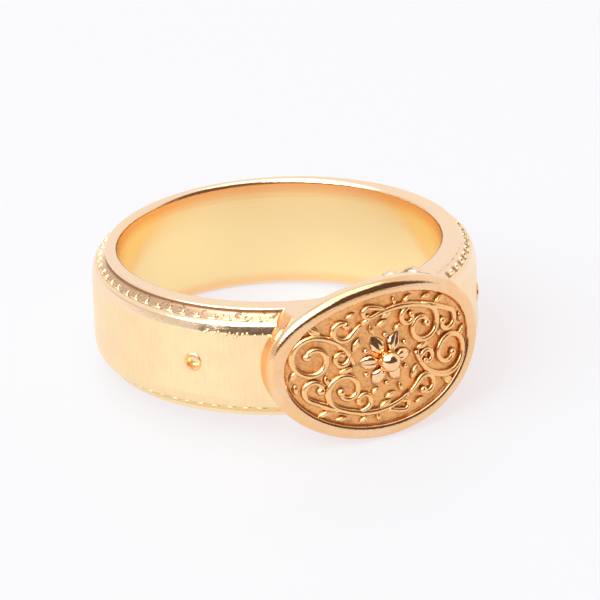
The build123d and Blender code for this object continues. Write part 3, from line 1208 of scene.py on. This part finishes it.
class AddKnobs(bpy.types.Operator):
    """Makes the two solder knobs behind the top of the plate."""

    bl_idname = "mesh.belt_ring_knobs"
    bl_label = "Solder knobs"

    def execute(self, context):
        plate, finishes = sizes_of(context, "plate", "finishes")
        bm = bmesh.new()
        for knob in KNOBS:
            x = knob.x * plate.width / 2
            reach = plate.bend + plate.knob_sink - knob.radius - plate.thickness
            y = plate_axis(plate) - sqrt(reach**2 - x**2)
            z = plate.height / 2 + knob.top - knob.radius
            made = bmesh.ops.create_icosphere(bm, subdivisions=4, radius=knob.radius)["verts"]
            for vert in made:
                hollow = abs(noise.noise(vert.co * LUMPS_PER_MM + Vector((x, 0, 0))))
                vert.co *= 1 - KNOB_HOLLOW * hollow
            bmesh.ops.translate(bm, vec=(x, y, z), verts=made)
        add_piece("knobs", bm, solder_gold(finishes))
        return {"FINISHED"}


# The camera was fitted to the outline of the ring in the photograph, in a 600 pixel frame.
# Its offset is to its right, up and back from the middle of the finger hole, in millimetres.
CAMERA_AZIMUTH = radians(-28.95)
CAMERA_ELEVATION = radians(25.562)
CAMERA_ROLL = radians(0.382)
CAMERA_OFFSET = Vector((1.062, -0.492, 600))
CAMERA_LENS = 630.23
CAMERA_SENSOR = 36


def add_camera():
    """Camera at the photograph's angle, about 0.6 m from the ring."""
    lens = bpy.data.cameras.new("camera")
    lens.lens = CAMERA_LENS
    lens.sensor_width = CAMERA_SENSOR
    lens.clip_start = 0.01
    camera = add_object("camera", lens)
    camera.matrix_world = (
        Matrix.Translation(HOLE["pos_m"])
        @ Matrix.Rotation(CAMERA_AZIMUTH, 4, "Z")
        @ Matrix.Rotation(pi / 2 - CAMERA_ELEVATION, 4, "X")
        @ Matrix.Translation(CAMERA_OFFSET * MM)
        @ Matrix.Rotation(-CAMERA_ROLL, 4, "Z")
    )
    bpy.context.scene.camera = camera


def add_floor(studio):
    """Plain pale floor."""
    material = bpy.data.materials.new("pale floor")
    surface = Shader(material).tree.nodes["Principled BSDF"].inputs
    surface["Base Color"].default_value = opaque(studio.floor)
    surface["Emission Color"].default_value = opaque(studio.glow)
    surface["Emission Strength"].default_value = 1.0
    surface["Roughness"].default_value = 0.6
    surface["Specular IOR Level"].default_value = 0.2
    bm = bmesh.new()
    bmesh.ops.create_grid(bm, x_segments=4, y_segments=4, size=1.5)
    floor = add_mesh("floor", bm, material)


# Where the dim side of the room and the bright panel stand, seen from the ring, and where the
# key light stands, in metres
DIM_SIDE = (0.21, -0.98)
LEFT_PANEL = (-0.50, -0.42, 0.757)
KEY_PLACE = Vector((-0.46, -0.08, 0.45))


def add_sky(studio):
    """Pale surroundings with a dim zone above the camera, which gives gold its dark lines."""
    world = bpy.data.worlds.new("studio")
    bpy.context.scene.world = world
    shader = Shader(world)
    direction = shader.node("TexCoord", output="Generated")
    x, y, z = shader.parts(direction)
    flat = shader.math("SQRT", x * x + y * y) + 0.001
    side = (x * DIM_SIDE[0] + y * DIM_SIDE[1]) / flat
    high = shader.step(side, 0.56, 0.78) * (1 - shader.step(z, 0.82, 0.90))
    low = shader.step(side, -0.2, 0.05) * (1 - shader.step(z, 0.36, 0.46))
    low_left = shader.step(x / flat, -0.2, -0.6) * (1 - shader.step(z, 0.22, 0.38))
    not_right = 1 - shader.step(x / flat, 0.82, 0.93)
    dim = shader.math("MAXIMUM", shader.math("MAXIMUM", high, low) * not_right, low_left * 0.3)
    above = shader.step(z, 0.88, 0.94)
    facing = x * LEFT_PANEL[0] + y * LEFT_PANEL[1] + z * LEFT_PANEL[2]
    left = shader.step(facing, cos(radians(24)), cos(radians(15)))
    colours = shader.mix(dim * (1 - left), studio.sky, studio.dark)
    strength = above * studio.overhead + left * studio.left_panel + studio.sky_strength
    background = shader.tree.nodes["Background"].inputs
    shader.feed(background["Color"], colours)
    shader.feed(background["Strength"], strength)


def add_key_light(studio):
    """Large soft light at the upper left."""
    light = bpy.data.lights.new("key", "AREA")
    light.shape = "DISK"
    light.size = 0.6
    light.energy = studio.key_strength
    turned = KEY_PLACE.to_track_quat("Z", "Y").to_matrix().to_4x4()
    add_object("key", light).matrix_world = Matrix.Translation(KEY_PLACE) @ turned


class AddStage(bpy.types.Operator):
    """Makes the floor, the light and the camera."""

    bl_idname = "scene.belt_ring_stage"
    bl_label = "Stage"

    def execute(self, context):
        studio = context.scene.belt_ring_studio
        add_floor(studio)
        add_sky(studio)
        add_key_light(studio)
        add_camera()
        context.scene.view_settings.view_transform = "Standard"
        return {"FINISHED"}


OPERATORS = (
    AddStage, AddBand, AddStitches, AddGrains, AddSaddle, AddPlate, AddScrollwork, AddRosette,
    AddKnobs,
)
GROUPS = {
    "band": BandSizes,
    "stitch": StitchSizes,
    "wear": WearSizes,
    "eyelet": EyeletSizes,
    "plate": PlateSizes,
    "relief": ReliefSizes,
    "finishes": Finishes,
    "studio": StudioSettings,
}


class BeltRingPanel(bpy.types.Panel):
    """Lists the pieces, sizes and colours of the ring."""

    bl_idname = "VIEW3D_PT_belt_ring"
    bl_label = "Belt ring"
    bl_space_type = "VIEW_3D"
    bl_region_type = "UI"
    bl_category = "Belt ring"

    def draw(self, context):
        for operator in OPERATORS:
            self.layout.operator(operator.bl_idname)
        for name in GROUPS:
            box = self.layout.box()
            box.label(text=name.capitalize())
            group = getattr(context.scene, "belt_ring_" + name)
            for key in group.__annotations__:
                box.prop(group, key)


def register():
    for group in GROUPS.values():
        bpy.utils.register_class(group)
    for name, group in GROUPS.items():
        setattr(bpy.types.Scene, "belt_ring_" + name, PointerProperty(type=group))
    for operator in (*OPERATORS, BeltRingPanel):
        bpy.utils.register_class(operator)


def unregister():
    for operator in reversed((*OPERATORS, BeltRingPanel)):
        bpy.utils.unregister_class(operator)
    for name in GROUPS:
        delattr(bpy.types.Scene, "belt_ring_" + name)
    for group in reversed(GROUPS.values()):
        bpy.utils.unregister_class(group)


def main():
    register()
    bpy.ops.scene.belt_ring_stage()
    bpy.ops.mesh.belt_ring_band()
    bpy.ops.mesh.belt_ring_stitches()
    bpy.ops.mesh.belt_ring_grains()
    bpy.ops.mesh.belt_ring_saddle()
    bpy.ops.mesh.belt_ring_plate()
    bpy.ops.mesh.belt_ring_scrollwork()
    bpy.ops.mesh.belt_ring_rosette()
    bpy.ops.mesh.belt_ring_knobs()


if __name__ == "__main__":
    main()
